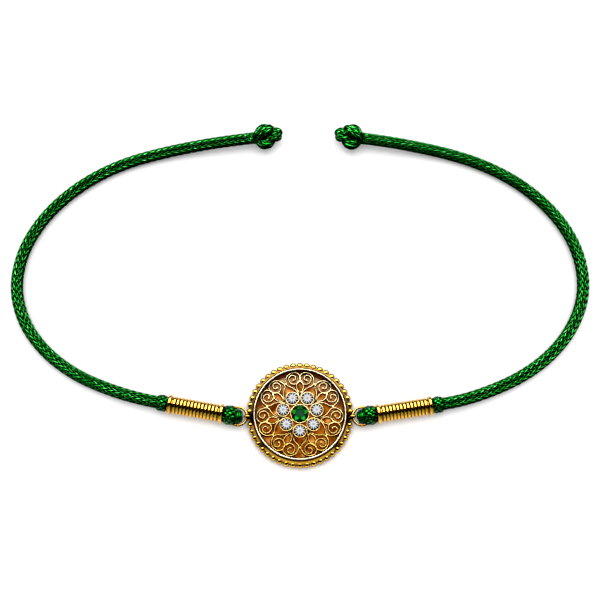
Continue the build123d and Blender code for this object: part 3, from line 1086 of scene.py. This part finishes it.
def area_light(name, place, aim, size, power, colour=(1, 1, 1)):
    """A rectangular lamp that faces what it is aimed at."""
    data = bpy.data.lights.new(name, "AREA")
    data.shape = "RECTANGLE"
    data.size, data.size_y = size
    data.energy = power
    data.color = colour
    lamp = bpy.data.objects.new(name, data)
    lamp.location = place
    lamp.rotation_euler = (Vector(aim) - Vector(place)).to_track_quat("-Z", "Y").to_euler()
    bpy.context.scene.collection.objects.link(lamp)
    return lamp


def lit(lamp, items):
    """Keeps a lamp's light to some pieces."""
    group = bpy.data.collections.new(lamp.name + "_pieces")
    for item in items:
        group.objects.link(item)
    lamp.light_linking.receiver_collection = group
    lamp.visible_camera = False


# The key lights everything, and isn't mirrored
key = area_light("key", place=(0, 0.22, 0.83), aim=(0, 0.02, 0), size=(1.1, 0.7), power=4.8)
key.visible_glossy = False

# Each group of pieces has its own strip of light to mirror, high behind it
medallion = nodes["medallion"]
sleeves = [nodes["left_sleeve"], nodes["right_sleeve"]]
jump_rings = [nodes["left_jump_ring"], nodes["right_jump_ring"]]
overhead = area_light("overhead", place=(0, 0.546, 0.585), aim=(0, 0, 0), size=(1.0, 0.82), power=32.0)
lit(overhead, sleeves)
strip = area_light("strip", place=(0, 0.41, 0.68), aim=(0, 0, 0), size=(2.4, 0.42), power=46.0)
lit(strip, threads)
rim_strip = area_light("rim_strip", place=(0, 0.487, 0.635), aim=(0, 0, 0), size=(1.6, 0.355), power=26.0)
lit(rim_strip, [medallion, *jump_rings, wires, ridge_line, rims])

# Upright cards near the floor are mirrored in the sleeves' and the medallion's fronts and sides
card = area_light(
    "front_card",
    place=(0, -0.5, 0.29),
    aim=(0, 0, 0.29),
    size=(1.3, 0.58),
    power=1.05,
    colour=(0.95, 1.1, 0.5),
)
lit(card, sleeves)
low_card = area_light(
    "low_card",
    place=(0, -0.5, 0.1),
    aim=(0, 0, 0.1),
    size=(1.3, 0.2),
    power=1.1,
    colour=(1.0, 1.05, 0.7),
)
lit(low_card, [medallion])
for way in (-1, 1):
    side_card = area_light(
        f"side_card_{way + 2}",
        place=(way * 0.8, 0.1, 0.12),
        aim=(0, 0.1, 0.12),
        size=(1.0, 0.24),
        power=0.75,
        colour=(1.0, 0.93, 0.6),
    )
    lit(side_card, [medallion])

# Warm light that the gold throws down on the surface under the filigree
glow = area_light(
    "warm_glow",
    place=(0, 0, 0.0005),
    aim=(0, 0, 0),
    size=(0.0155, 0.0155),
    power=0.0003,
    colour=(1.0, 0.62, 0.22),
)
glow.data.shape = "DISK"
glow.visible_camera = False
glow.visible_glossy = False
glow.visible_transmission = False

# Surroundings: even light for what is matt, and for gloss a bright belt of softboxes round a dark
# ceiling, strongest behind the object; cut stones look into a plain ring of light
MATT_LIGHT = 0.935
BACK_BELT = [(0.0, 0.03), (0.25, 0.12), (0.42, 1.0), (0.6, 0.8), (0.75, 0.06)]
FRONT_BELT = [(0.0, 0.05), (0.18, 0.2), (0.28, 1.0), (0.4, 1.0), (0.5, 0.0)]
STONE_LIGHT = [(0.0, 0.1), (0.3, 0.25), (0.45, 0.85), (0.8, 0.85), (0.88, 0.03)]


def by_height(tree, z, levels):
    """Light by the direction's Z, from pairs of a Z and a brightness."""
    return ramp(tree, z, [(place, grey(value)) for place, value in levels])


def belt(tree, direction, levels, first, last, strength, colour):
    """A belt of light that grows to its strength as the direction's Y goes from first to last."""
    _, y, z = direction
    facing = product(tree, smooth_step(tree, y, first, last), strength)
    light = product(tree, by_height(tree, z, levels), facing)
    return node(tree, "ShaderNodeVectorMath", {0: colour, "Scale": light}, operation="SCALE").outputs[0]


def background(tree, colour, strength=1.0):
    return node(tree, "ShaderNodeBackground", {"Color": colour, "Strength": strength}).outputs[0]


def surroundings():
    """The world, which shows each kind of ray its own light."""
    world = bpy.data.worlds.new("studio")
    world.use_nodes = True
    world.cycles.sampling_method = "NONE"
    tree = world.node_tree
    direction = split(tree, node(tree, "ShaderNodeTexCoord").outputs["Generated"])
    back = belt(tree, direction, BACK_BELT, -0.05, 0.3, 0.45, (1.0, 0.98, 0.96))
    front = belt(tree, direction, FRONT_BELT, -0.1, -0.4, 0.25, (1.0, 1.15, 0.7))
    belts = node(tree, "ShaderNodeVectorMath", {0: back, 1: front}, operation="ADD").outputs[0]
    matt = background(tree, opaque(grey(1.0)), MATT_LIGHT)
    ring = background(tree, by_height(tree, direction[2], STONE_LIGHT))
    light = mixed_shaders(tree, ray_is(tree, "Glossy"), matt, background(tree, belts))
    light = mixed_shaders(tree, ray_is(tree, "Transmission"), light, ring)
    tree.links.new(light, tree.nodes["World Output"].inputs["Surface"])
    return world


bpy.context.scene.world = surroundings()

# Camera, at the photograph's viewing angle off the vertical
CAMERA_TILT = math.radians(17)
CAMERA_VIEW = math.radians(28)
CAMERA_PLACE = (0.0000189, -0.045987, 0.226339)

camera_data = bpy.data.cameras.new("camera")
camera_data.angle = CAMERA_VIEW
camera_data.clip_start = 0.01
camera_data.clip_end = 20
camera = bpy.data.objects.new("camera", camera_data)
camera.location = CAMERA_PLACE
camera.rotation_euler = (CAMERA_TILT, 0, 0)
bpy.context.scene.collection.objects.link(camera)
bpy.context.scene.camera = camera
bpy.context.scene.view_settings.view_transform = "Standard"
